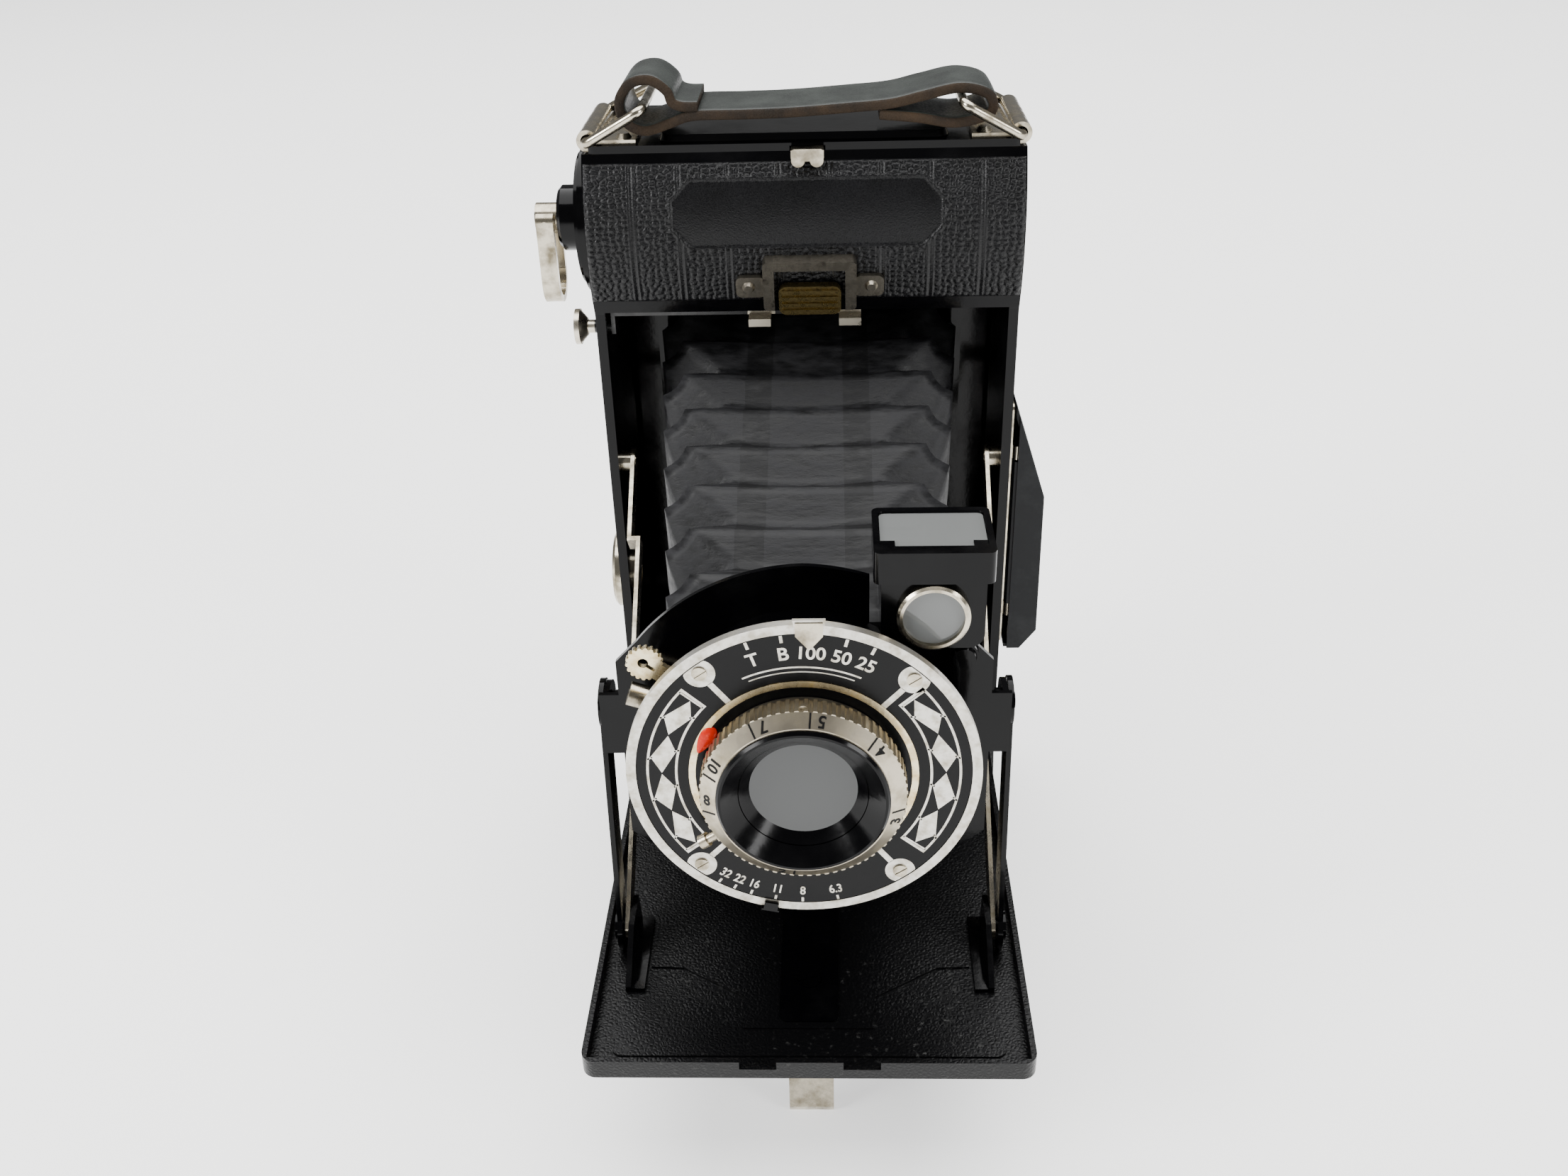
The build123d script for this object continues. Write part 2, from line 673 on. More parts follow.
with BuildPart() as back_door:
    with BuildSketch(front(door_rear)):
        with Locations((0, (door_low + door_high) / 2)):
            Rectangle(body_width, door_high - door_low)
    extrude(amount=door_depth)
    fillet(back_door.edges().filter_by(Axis.Z).group_by(Axis.Y)[-1], 2.2)
    with BuildSketch(front(door_rear - door_sheet)):
        with Locations((0, (door_low + door_high) / 2)):
            Rectangle(body_width - 2.4, door_high - door_low - 2.4)
    extrude(amount=door_depth, mode=Mode.SUBTRACT)
    # notches round the body's knuckles
    for x in body_knuckles:
        with BuildSketch(front(door_rear + 1)):
            with Locations((x, door_low + 1.8)):
                Rectangle(knuckle_length + 2 * slack, 7.2)
        extrude(amount=door_depth + 2, mode=Mode.SUBTRACT)
    # the door's own knuckles
    for x_low, x_high in ((-36, -29.0), (-19.0, 19.0), (29.0, 36)):
        with BuildSketch(side(x_low)):
            with Locations((door_hinge_y, door_hinge_z)):
                Circle(door_knuckle_r)
            with Locations(((door_hinge_y + door_rear - 0.6) / 2, door_hinge_z - 0.5)):
                Rectangle(door_rear - 0.6 - door_hinge_y, 1.4)
            with Locations((door_hinge_y, door_hinge_z)):
                Circle(pin_r + fit, mode=Mode.SUBTRACT)
        extrude(amount=x_high - x_low)
    with BuildSketch(side(-37)):
        with Locations((door_hinge_y, door_hinge_z)):
            Circle(pin_r + fit)
    extrude(amount=74, mode=Mode.SUBTRACT)
    # film window
    with BuildSketch(front(door_rear)):
        with Locations((0, window_z)):
            Circle(window_r)
    extrude(amount=door_sheet, mode=Mode.SUBTRACT)
    # ring round the window
    with BuildSketch(front(door_rear + 0.5)):
        with Locations((0, window_z)):
            Circle(7.2)
            Circle(window_r, mode=Mode.SUBTRACT)
    extrude(amount=0.5)
    # two guides for the sliding cover
    for x in (-6.9, 6.9):
        with BuildSketch(front(door_rear + 2.1)):
            with Locations((x, window_z + 5.5)):
                Rectangle(1.4, 25)
        extrude(amount=1.7)
save(back_door, "back_door")

with BuildPart() as back_leather:
    with BuildSketch(front(door_rear + hide)):
        with Locations((0, gate_z + 1.4)):
            RectangleRounded(body_width - 6, door_high - door_low - 16, 2)
        with Locations((0, window_z)):
            Circle(7.4, mode=Mode.SUBTRACT)
    extrude(amount=hide)
save(back_leather, "back_leather")

with BuildPart() as red_window:
    with BuildSketch(front(door_rear)):
        with Locations((0, window_z)):
            Circle(window_r)
    extrude(amount=door_sheet)
save(red_window, "red_window")

shutter_slide = 11.0
with BuildPart() as window_cover:
    with BuildSketch(front(door_rear + 1.5)):
        with Locations((0, window_z)):
            RectangleRounded(12.2, 13.4, 1.5)
    extrude(amount=0.7)
    for row in range(3):
        with BuildSketch(front(door_rear + 2.0)):
            with Locations((0, window_z + 2 + 1.6 * row)):
                Rectangle(7, 0.7)
        extrude(amount=0.6)
save(window_cover, "window_cover")

with BuildPart() as pressure_plate:
    with BuildSketch(front(film_plane + 1.5)):
        with Locations((0, gate_z)):
            RectangleRounded(2 * frame_half - 1.2, 96, 2)
        with Locations((0, window_z)):
            Circle(window_r - 0.4, mode=Mode.SUBTRACT)
    extrude(amount=0.8)
    # leaf spring behind it
    with BuildSketch(side(-4)):
        with BuildLine():
            Spline((film_plane + 1.5, gate_z - 21), (door_rear - door_sheet - 0.7, gate_z + 6),
                   (film_plane + 1.5, gate_z + 33), tangents=((0.3, 1), (-0.3, 1)))
            Line((film_plane + 1.5, gate_z + 33), (film_plane + 2.0, gate_z + 33))
            Spline((film_plane + 2.0, gate_z + 33), (door_rear - door_sheet - 0.2, gate_z + 6),
                   (film_plane + 2.0, gate_z - 21), tangents=((0.3, -1), (-0.3, -1)))
            Line((film_plane + 2.0, gate_z - 21), (film_plane + 1.5, gate_z - 21))
        make_face()
    extrude(amount=8)
save(pressure_plate, "pressure_plate")

latch_travel = 2.4
latch_front = front_set - 3.4
latch_rear = door_rear + 2.0
with BuildPart() as back_latch:
    with BuildSketch(Plane.XY.offset(shell_top + 0.1)):
        with Locations((latch_x, (latch_front + latch_rear) / 2)):
            Rectangle(latch_width, latch_rear - latch_front)
    extrude(amount=latch_thickness)
    # finger tab in front
    with BuildSketch(front(latch_front + 0.8)):
        with Locations((latch_x, shell_top - 0.1)):
            RectangleRounded(latch_width, 2.2, 0.7)
        # two lobes with a notch between them
        for x in (-1.7, 1.7):
            with Locations((latch_x + x, shell_top - 1.0)):
                Circle(1.25)
    extrude(amount=0.8)
    # tongue behind the door
    with BuildSketch(front(latch_rear)):
        with Locations((latch_x, shell_top + 0.3)):
            Rectangle(latch_width, 1.0)
    extrude(amount=0.8)
save(back_latch, "back_latch")


# ---------------------------------------------------------------- bed
field_rise = 0.35
field_half = 34.0
body_barrels = (-27, -9, 9, 27)      # middles of the body's knuckles along the bed hinge
barrel_length = 6.0
bed_back = hinge_y - 0.8

with BuildPart() as bed_plate:
    with BuildSketch(Plane.XY.offset(bed_under)):
        with Locations((0, (bed_front + bed_back) / 2)):
            Rectangle(2 * bed_half, bed_back - bed_front)
    extrude(amount=bed_rim)
    fillet(bed_plate.edges().filter_by(Axis.Z).group_by(Axis.Y)[0], 2.5)
    with BuildSketch(Plane.XY.offset(bed_floor)):
        with Locations((0, (bed_front + bed_back) / 2 + 4)):
            Rectangle(2 * bed_half - 2, bed_back - bed_front + 6)
    extrude(amount=bed_rim, mode=Mode.SUBTRACT)
    # raised field, and a second step that narrows towards the front
    with BuildSketch(Plane.XY.offset(bed_floor)):
        with Locations((0, (bed_front + 3.7 - 4) / 2)):
            RectangleRounded(2 * field_half, -bed_front - 3.7 - 4, 2)
    extrude(amount=field_rise)
    with BuildSketch(Plane.XY.offset(bed_floor + field_rise)):
        with BuildLine():
            Polyline((0, -6), (-30, -6), (-29.1, -75), (-23.1, -75.3), (-11.6, -82.4), (-11.3, -89.6), (0, -89.6))
            mirror(about=Plane.YZ)
        make_face()
    extrude(amount=field_rise)
    # notches in the front rim that let the catch hooks through
    for left in notch_lefts:
        with BuildSketch(front(bed_front + 1.4)):
            with Locations((left + notch_width / 2, bed_floor + bed_rim / 2 + 1.2)):
                Rectangle(notch_width, bed_rim)
        extrude(amount=3, mode=Mode.SUBTRACT)
    # hinge knuckles between the body's
    for x in (-18, 0, 18):
        with BuildSketch(side(x - 5.7)):
            with Locations((hinge_y, hinge_z)):
                Circle(hinge_r)
            with Locations((hinge_y - 0.9, bed_under + bed_skin / 2)):
                Rectangle(1.2, bed_skin)
        extrude(amount=11.4)
    for x in body_barrels:
        with BuildSketch(Plane.XY.offset(bed_under - 1)):
            with Locations((x, hinge_y)):
                Rectangle(barrel_length + 2 * slack, 3.4)
        extrude(amount=4, mode=Mode.SUBTRACT)
    with BuildSketch(side(-32)):
        with Locations((hinge_y, hinge_z)):
            Circle(pin_r + fit)
    extrude(amount=64, mode=Mode.SUBTRACT)
save(bed_plate, "bed_plate")

with BuildPart() as bed_hinge:
    for x in body_barrels:
        with BuildSketch(side(x - barrel_length / 2)):
            with Locations((hinge_y, hinge_z)):
                Circle(hinge_r)
            with Locations((hinge_y + 0.8, (opening_bottom + hinge_z) / 2)):
                Rectangle(1.2, hinge_z - opening_bottom)
        extrude(amount=barrel_length)
    with BuildSketch(side(-30.4)):
        with Locations((hinge_y, hinge_z)):
            Circle(pin_r)
    extrude(amount=60.8)
save(bed_hinge, "bed_hinge")

with BuildPart() as bed_leather:
    with BuildSketch(Plane.XY.offset(bed_under - hide)):
        with Locations((0, (bed_front - 3.2) / 2)):
            RectangleRounded(2 * bed_half - 2, -bed_front - 5.2, 2)
    extrude(amount=hide)
save(bed_leather, "bed_leather")

field_top = bed_floor + 2 * field_rise
spine_front = -88.3
screw_y = -78.4
with BuildPart() as bed_spine:
    with BuildSketch(Plane.XY.offset(field_top)):
        with Locations((0, (spine_front - 9) / 2)):
            RectangleRounded(10.4, -spine_front - 9, 1.2)
        with Locations((0, screw_y)):
            Circle(2.2, mode=Mode.SUBTRACT)
    extrude(amount=0.3)
    with BuildSketch(Plane.XY.offset(field_top)):
        with Locations((0, screw_y)):
            Circle(2.1)
    extrude(amount=0.5)
    with BuildSketch(Plane.XY.offset(field_top + 0.25)):
        with Locations((0, screw_y)):
            Rectangle(4.4, 0.5, rotation=20)
    extrude(amount=0.5, mode=Mode.SUBTRACT)
save(bed_spine, "bed_spine")

# brackets that carry the arms and the lower stays
arm_out = arm_x + arm_thickness
foot_low = bed_floor + field_rise
with BuildPart() as arm_brackets:
    for turn in (-1, 1):
        start = turn * bracket_x if turn > 0 else turn * bracket_x - 1.0
        with BuildSketch(side(start)):
            Polygon(
                (-62.5, foot_low), (-64.2, arm_pivot_z + 3.6), (-72.0, arm_pivot_z + 3.6),
                (-81.0, foot_low + 1.2), (-81.0, foot_low), align=None,
            )
        extrude(amount=1.0)
        with BuildSketch(Plane.XY.offset(foot_low)):
            with Locations((turn * (bracket_x - 0.7), -71.8)):
                Rectangle(3.4, 18.4)
        extrude(amount=0.9)
    # pivots through the arms and lower stays
    for turn in (-1, 1):
        with BuildSketch(side(turn * bracket_x)):
            with Locations((arm_pivot_y, arm_pivot_z)):
                Circle(rivet_r - 0.2)
        extrude(amount=turn * (arm_out - bracket_x + 0.1))
        with BuildSketch(side(turn * (arm_out + 0.1))):
            with Locations((arm_pivot_y, arm_pivot_z)):
                Circle(2.6)
        extrude(amount=turn * 0.6)
save(arm_brackets, "arm_brackets")

# drop leg under the front of the bed
leg_hinge_z = bed_under - hide - 2.0
with BuildPart() as leg_mount:
    with BuildSketch(Plane.XY.offset(bed_under - hide - 0.6)):
        with Locations((0, leg_pivot_y)):
            Rectangle(15, 7)
    extrude(amount=0.6)
    for x in (-6.0, 6.0):
        with BuildSketch(side(x - 1.2)):
            with Locations((leg_pivot_y, leg_hinge_z)):
                Circle(1.1)
            with Locations((leg_pivot_y, leg_hinge_z + 0.6)):
                Rectangle(2.2, 1.6)
        extrude(amount=2.4)
    with BuildSketch(side(-7.4)):
        with Locations((leg_pivot_y, leg_hinge_z)):
            Circle(pin_r)
    extrude(amount=14.8)
save(leg_mount, "leg_mount")

with BuildPart() as drop_leg:
    with BuildSketch(side(-leg_width / 2)):
        with Locations((leg_pivot_y, leg_hinge_z)):
            Circle(1.1)
        with BuildLine():
            Polyline(
                (leg_pivot_y - 0.6, leg_hinge_z), (leg_foot_y + 0.2, 1.6), (leg_foot_y + 0.9, 0),
                (leg_foot_y + 2.4, 0), (leg_foot_y + 2.4, 0.9), (leg_foot_y + 1.5, 1.9),
                (leg_pivot_y + 0.5, leg_hinge_z), (leg_pivot_y - 0.6, leg_hinge_z),
            )
        make_face()
    extrude(amount=leg_width)
    with BuildSketch(side(-leg_width)):
        with Locations((leg_pivot_y, leg_hinge_z)):
            Circle(pin_r + fit)
    extrude(amount=2 * leg_width, mode=Mode.SUBTRACT)
save(drop_leg, "drop_leg")


# ---------------------------------------------------------------- arms and side stays
def mirrored(turn, start, thickness):
    """Plane and extrusion for a sheet lying outward from start on one side."""
    return side(turn * start), turn * thickness


def arm(turn):
    """Arm from the bed bracket up to the standard's ear."""
    plane, amount = mirrored(turn, arm_x, arm_thickness)
    run = math.dist((arm_pivot_y, arm_pivot_z), (ear_pivot_y, ear_pivot_z))
    lean = math.degrees(math.atan2(ear_pivot_z - arm_pivot_z, ear_pivot_y - arm_pivot_y))
    middle = ((arm_pivot_y + ear_pivot_y) / 2, (arm_pivot_z + ear_pivot_z) / 2)
    with BuildPart() as link:
        with BuildSketch(plane):
            with Locations(middle):
                Rectangle(run, arm_width, rotation=lean)
            with Locations((arm_pivot_y, arm_pivot_z), (ear_pivot_y, ear_pivot_z)):
                Circle(arm_end_r)
            with Locations((arm_pivot_y, arm_pivot_z)):
                Circle(rivet_r - 0.2 + fit, mode=Mode.SUBTRACT)
            with Locations((ear_pivot_y, ear_pivot_z)):
                Circle(rivet_r, mode=Mode.SUBTRACT)
        extrude(amount=amount)
        # rivet through the ear
        with BuildSketch(side(turn * (ear_x - 0.5))):
            with Locations((ear_pivot_y, ear_pivot_z)):
                Circle(rivet_r)
        extrude(amount=turn * (arm_x + arm_thickness + 0.5 - ear_x + 0.5))
        with BuildSketch(side(turn * (ear_x - 0.9))):
            with Locations((ear_pivot_y, ear_pivot_z)):
                Circle(2.2)
        extrude(amount=turn * 0.7)
    return link


arm_left = arm(-1)
save(arm_left, "arm_left")
arm_right = arm(1)
save(arm_right, "arm_right")

stay_run = math.dist((stay_pivot_y, stay_pivot_z), (arm_pivot_y, arm_pivot_z))
stay_lower_length = stay_run - stay_upper_length
stay_lean = math.atan2(arm_pivot_z - stay_pivot_z, arm_pivot_y - stay_pivot_y)
knee_y = stay_pivot_y + stay_upper_length * math.cos(stay_lean)
knee_z = stay_pivot_z + stay_upper_length * math.sin(stay_lean)
stay_wall_x = 36.2         # inner face of the upper stay beside the body wall
stay_knee_x = 34.35        # and where it has stepped inward
step_near = 18.0            # distance from the pivot where the step is


def stay_point(run):
    """Point along the side stay at a distance from its pivot on the body."""
    return (stay_pivot_y + run * math.cos(stay_lean), stay_pivot_z + run * math.sin(stay_lean))


def stay_upper(turn):
    """Stay link pivoted on the body wall, stepped inward along its length."""
    with BuildPart() as link:
        with BuildSketch(side(turn * stay_wall_x)):
            with Locations((stay_pivot_y, stay_pivot_z)):
                Circle(stay_width / 2)
        extrude(amount=turn * stay_thickness)
        for start, thickness, near, far in (
            (stay_wall_x, stay_thickness, 0, step_near),
            (stay_knee_x, stay_wall_x + stay_thickness - stay_knee_x, step_near, step_near + 0.9),
            (stay_knee_x, stay_thickness, step_near, stay_upper_length),
        ):
            with BuildSketch(side(turn * start)):
                with Locations(stay_point((near + far) / 2)):
                    Rectangle(far - near, stay_width, rotation=math.degrees(stay_lean))
            extrude(amount=turn * thickness)
        with BuildSketch(side(turn * stay_knee_x)):
            with Locations((knee_y, knee_z)):
                Circle(stay_width / 2)
        extrude(amount=turn * stay_thickness)
        with BuildSketch(side(turn * (stay_knee_x + stay_thickness))):
            with Locations((knee_y, knee_z)):
                Circle(1.8)
        extrude(amount=turn * 0.5)
        with BuildSketch(side(turn * (stay_wall_x - 1))):
            with Locations((stay_pivot_y, stay_pivot_z)):
                Circle(rivet_r + fit)
        extrude(amount=turn * 3, mode=Mode.SUBTRACT)
    return link


def stay_lower(turn):
    """Stay link pivoted on the bed bracket."""
    plane, amount = mirrored(turn, stay_x, stay_thickness)
    with BuildPart() as link:
        with BuildSketch(plane):
            with Locations((knee_y, knee_z), (arm_pivot_y, arm_pivot_z)):
                Circle(stay_width / 2)
        extrude(amount=amount)
        with BuildSketch(plane):
            with Locations(stay_point((stay_upper_length + stay_run) / 2)):
                Rectangle(stay_lower_length, stay_width, rotation=math.degrees(stay_lean))
        extrude(amount=amount)
        with BuildSketch(plane):
            with Locations((arm_pivot_y, arm_pivot_z)):
                Circle(rivet_r - 0.2 + fit)
        extrude(amount=amount, mode=Mode.SUBTRACT)
    return link


stay_upper_left = stay_upper(-1)
save(stay_upper_left, "stay_upper_left")
stay_upper_right = stay_upper(1)
save(stay_upper_right, "stay_upper_right")
stay_lower_left = stay_lower(-1)
save(stay_lower_left, "stay_lower_left")
stay_lower_right = stay_lower(1)
save(stay_lower_right, "stay_lower_right")

# pins and plates fixed inside and on the casing
with BuildPart() as body_fittings:
    # spool pins on collars, one side of the upper chamber being the winding shaft's
    for x, z in ((1, spool_high_z), (1, spool_low_z), (-1, spool_low_z)):
        seat = x * inner
        with BuildSketch(side(seat)):
            with Locations((spool_y, z)):
                Circle(4.0)
        extrude(amount=-x * (inner - spool_length / 2 - slack))
        with BuildSketch(side(seat)):
            with Locations((spool_y, z)):
                Circle(spool_bore_r - fit)
        extrude(amount=-x * (inner - spool_length / 2 + 3.2))
    # spindles of the film rollers
    for z in (roller_low_z, roller_high_z):
        with BuildSketch(side(-inner)):
            with Locations((roller_y, z)):
                Circle(0.8)
        extrude(amount=2 * inner)
    # pivots of the side stays
    for turn in (-1, 1):
        with BuildSketch(side(turn * inner)):
            with Locations((stay_pivot_y, stay_pivot_z)):
                Circle(rivet_r)
        extrude(amount=-turn * (inner - stay_wall_x + 0.1))
        # shoulder against the wall
        with BuildSketch(side(turn * inner)):
            with Locations((stay_pivot_y, stay_pivot_z)):
                Circle(2.1)
        extrude(amount=-turn * (inner - stay_wall_x - stay_thickness - 0.15))
    # base of the folding finder
    with BuildSketch(side(half)):
        with Locations(((base_front + leaf_rear - 0.3) / 2, (leaf_low + leaf_high) / 2)):
            RectangleRounded(leaf_rear - 0.3 - base_front, leaf_high - leaf_low - 0.6, 1.2)
    extrude(amount=1.0)
    # posts for the two hinge pins
    for y, foot, z in (
        (leaf_pin_y, 0.9, leaf_low + 8), (leaf_pin_y, 0.9, leaf_high - 12),
        (eye_pin_y, 0, 73.1), (eye_pin_y, 0, 86.9),
    ):
        with BuildSketch(Plane.XY.offset(z)):
            with Locations((leaf_pin_x, y)):
                Circle(0.8)
            with Locations((half + 0.95, y + foot)):
                Rectangle(1.9, 1.2)
        extrude(amount=3)
save(body_fittings, "body_fittings")


# ---------------------------------------------------------------- lens standard
plate_half = 31.0
standard_back = standard_y + 0.9
finder_cut_x = 10.7
finder_floor_z = 102.5
finder_pivot = (26.0, 97.0)
with BuildPart() as standard_plate:
    with BuildSketch(front(standard_back)):
        with BuildLine():
            Polyline(
                (0, 55.6), (26, 55.6), (plate_half, 60), (plate_half, 95.6), (27.2, 99.6),
            )
            ThreePointArc((27.2, 99.6), (15.5, 109.4), (0, 113.5))
            mirror(about=Plane.YZ)
        make_face()
        with Locations((finder_cut_x + 12, finder_floor_z - 0.5 + 8)):
            Rectangle(24, 16, mode=Mode.SUBTRACT)
        with Locations((0, lens_height)):
            Circle(14, mode=Mode.SUBTRACT)
    extrude(amount=0.9)
    # ears bent back to the arms
    for turn in (-1, 1):
        with BuildSketch(front(standard_back)):
            with Locations((turn * (plate_half + ear_x + 0.9) / 2, ear_pivot_z)):
                Rectangle(ear_x + 0.9 - plate_half + 0.4, 12)
        extrude(amount=0.9)
        plane, amount = mirrored(turn, ear_x, 0.9)
        with BuildSketch(plane):
            with Locations(((standard_y + ear_pivot_y) / 2, ear_pivot_z)):
                Rectangle(ear_pivot_y - standard_y, 8)
            with Locations((ear_pivot_y, ear_pivot_z)):
                Circle(4.0)
                Circle(rivet_r + fit, mode=Mode.SUBTRACT)
        extrude(amount=amount)
    # frame that holds the front of the bellows
    with BuildSketch(front(standard_back + 0.9)):
        with Locations((0, lens_height)):
            RectangleRounded(45, 38, 3)
            RectangleRounded(38, 33, 2, mode=Mode.SUBTRACT)
    extrude(amount=0.9)
    # rivet the reflex finder turns on
    with BuildSketch(front(standard_y)):
        with Locations(finder_pivot):
            Circle(rivet_r - 0.4)
    extrude(amount=1.5)
    with BuildSketch(front(standard_y)):
        with Locations(finder_pivot):
            Circle(1.7)
    extrude(amount=0.35)
    with BuildSketch(front(standard_y - 1.4)):
        with Locations(finder_pivot):
            Circle(2.1)
    extrude(amount=0.6, taper=20)
save(standard_plate, "standard_plate")

# bellows: a plain tapering tube, from the film gate to the standard
with BuildPart() as bellows:
    for inset, kind in ((0, Mode.ADD), (0.7, Mode.SUBTRACT)):
        with BuildSketch(front(frame_front)):
            with Locations((0, gate_z)):
                Rectangle(2 * (31.2 - inset), 2 * (43.9 - inset))
        with BuildSketch(front(standard_back + 0.9)):
            with Locations((0, lens_height - 0.3)):
                Rectangle(2 * (22.4 - inset), 2 * (19.4 - inset))
        loft(mode=kind)
save(bellows, "bellows")


# ---------------------------------------------------------------- shutter
case_r = 22.6
flange_r = 26.0
flange_depth = 3.0
speed_in, speed_out = face_r - 1.6, face_r
gallery_in = 20.6

tube_r, tube_bore = 13.0, 10.5
case_bore = 13.5
tube_front = face_front - 0.25 - ring_depth + 1.9
rear_end = -64.2            # back of the rear lens cell
with BuildPart() as shutter_case:
    with BuildSketch(front(standard_y)):
        with Locations((0, lens_height)):
            Circle(case_r)
    extrude(amount=standard_y - face_back)
    with BuildSketch(front(face_back + flange_depth)):
        with Locations((0, lens_height)):
            Circle(flange_r)
    extrude(amount=flange_depth)
    # galleries for the release lever and the aperture pointer
    for near, far in ((-78.2, -79.9), (-81.2, face_back)):
        with BuildSketch(front(near)):
            with Locations((0, lens_height)):
                Circle(flange_r + 1)
                Circle(gallery_in, mode=Mode.SUBTRACT)
        extrude(amount=near - far, mode=Mode.SUBTRACT)
    # tube for the focusing cell in front, and the rear cell behind
    with BuildSketch(front(face_back)):
        with Locations((0, lens_height)):
            Circle(tube_r)
    extrude(amount=face_back - tube_front)
    with BuildSketch(front(rear_end)):
        with Locations((0, lens_height)):
            Circle(11.5)
    extrude(amount=rear_end - standard_y)
    # light path, wider where the blades sit
    for r, near, far in ((9.0, rear_end, -76.0), (case_bore, -76.0, -79.4), (tube_bore, -79.4, tube_front)):
        with BuildSketch(front(near)):
            with Locations((0, lens_height)):
                Circle(r)
        extrude(amount=near - far, mode=Mode.SUBTRACT)
save(shutter_case, "shutter_case")

screw_points = []
for base in (screw_angle, 180 - screw_angle, 180 + screw_angle, -screw_angle):
    turned = math.radians(base + face_turn)
    screw_points.append((screw_circle_r * math.cos(turned), lens_height + screw_circle_r * math.sin(turned)))

with BuildPart() as face_plate:
    with BuildSketch(front(face_back)):
        with Locations((0, lens_height)):
            Circle(speed_in - 0.12)
            Circle(13.0, mode=Mode.SUBTRACT)
    extrude(amount=face_thickness)
save(face_plate, "face_plate")

nipple_angle = math.radians(160.0)
nipple_axis = Plane(
    origin=(case_r * 0.97 * math.cos(nipple_angle), -75.4, lens_height + case_r * 0.97 * math.sin(nipple_angle)),
    z_dir=(math.cos(nipple_angle), 0, math.sin(nipple_angle)),
)
with BuildPart() as shutter_fittings:
    # nipple for the cable release
    with BuildSketch(nipple_axis):
        Circle(2.0)
    extrude(amount=8.2)
    with BuildSketch(nipple_axis.offset(4)):
        Circle(0.9)
    extrude(amount=5, mode=Mode.SUBTRACT)
    with BuildSketch(front(-72)):
        with Locations((0, lens_height)):
            Circle(case_r)
    extrude(amount=7, mode=Mode.SUBTRACT)
    # face screws
    for x, z in screw_points:
        with BuildSketch(front(face_front)):
            with Locations((x * 0.975, lens_height + (z - lens_height) * 0.975)):
                Circle(1.2)
        extrude(amount=0.35)
        with BuildSketch(front(face_front - 0.2)):
            with Locations((x * 0.975, lens_height + (z - lens_height) * 0.975)):
                Rectangle(2.6, 0.4, rotation=35)
        extrude(amount=0.3, mode=Mode.SUBTRACT)
save(shutter_fittings, "shutter_fittings")

with BuildPart() as speed_ring:
    with BuildSketch(front(face_back + 0.6)):
        with Locations((0, lens_height)):
            Circle(speed_out)
            Circle(speed_in, mode=Mode.SUBTRACT)
    extrude(amount=face_thickness + 0.7)
    # pointer over the top of the rim
    with BuildSketch(front(face_front - 0.1)):
        with Locations((1.3, lens_height + face_r - 0.2)):
            Trapezoid(5.0, 2.6, 100)
        with Locations((1.3, lens_height + face_r - 2.4)):
            Triangle(a=4.0, B=52, C=52, rotation=180)
    extrude(amount=0.6)
save(speed_ring, "speed_ring")

pointer_angle = 257.6
with BuildPart() as aperture_pointer:
    with BuildSketch(front(-81.4)):
        with Locations((0, lens_height)):
            with PolarLocations(0, 1, start_angle=pointer_angle):
                with Locations((25.3, 0)):
                    Rectangle(7.0, 3.0)
    extrude(amount=0.6)
    with BuildSketch(front(-81.4)):
        with Locations((0, lens_height)):
            with PolarLocations(0, 1, start_angle=pointer_angle):
                with Locations((28.81, 0)):
                    Rectangle(0.3, 3.0)
    extrude(amount=face_thickness + 2.5)
    with BuildSketch(front(face_front - 0.25)):
        with Locations((0, lens_height)):
            with PolarLocations(0, 1, start_angle=pointer_angle):
                with Locations((28.1, 0)):
                    Rectangle(1.7, 2.4)
    extrude(amount=0.45)
save(aperture_pointer, "aperture_pointer")

lever_angle = 143.0
lever_disc_r = 2.7
lever_teeth = 18
lever_reach = 30.9          # from the lens axis to the middle of the finger disc
with BuildPart() as release_lever:
    with BuildSketch(front(-78.5)):
        with Locations((0, lens_height)):
            with PolarLocations(0, 1, start_angle=lever_angle):
                with Locations((25.6, 0)):
                    Rectangle(7.2, 3.0)
                with Locations((lever_reach, 0)):
                    Circle(lever_disc_r)
                    with PolarLocations(lever_disc_r, lever_teeth):
                        Circle(0.32)
                # keyhole in the disc
                with Locations((lever_reach + 0.3, 0)):
                    Circle(0.85, mode=Mode.SUBTRACT)
                with Locations((lever_reach - 0.8, 0)):
                    SlotOverall(2.4, 0.6, mode=Mode.SUBTRACT)
    extrude(amount=1.1)
save(release_lever, "release_lever")


# ---------------------------------------------------------------- lens
ring_back = face_front - 0.25
ring_front = ring_back - ring_depth
knurl_depth = 5.0          # of the milled rim, behind the sloping scale
neck_depth = 1.8           # of the plain neck behind the rim
ring_slope = 57             # degrees that the scale leans in from the rim
cell_front = ring_front - 0.7
glass_front = cell_front + 4.0

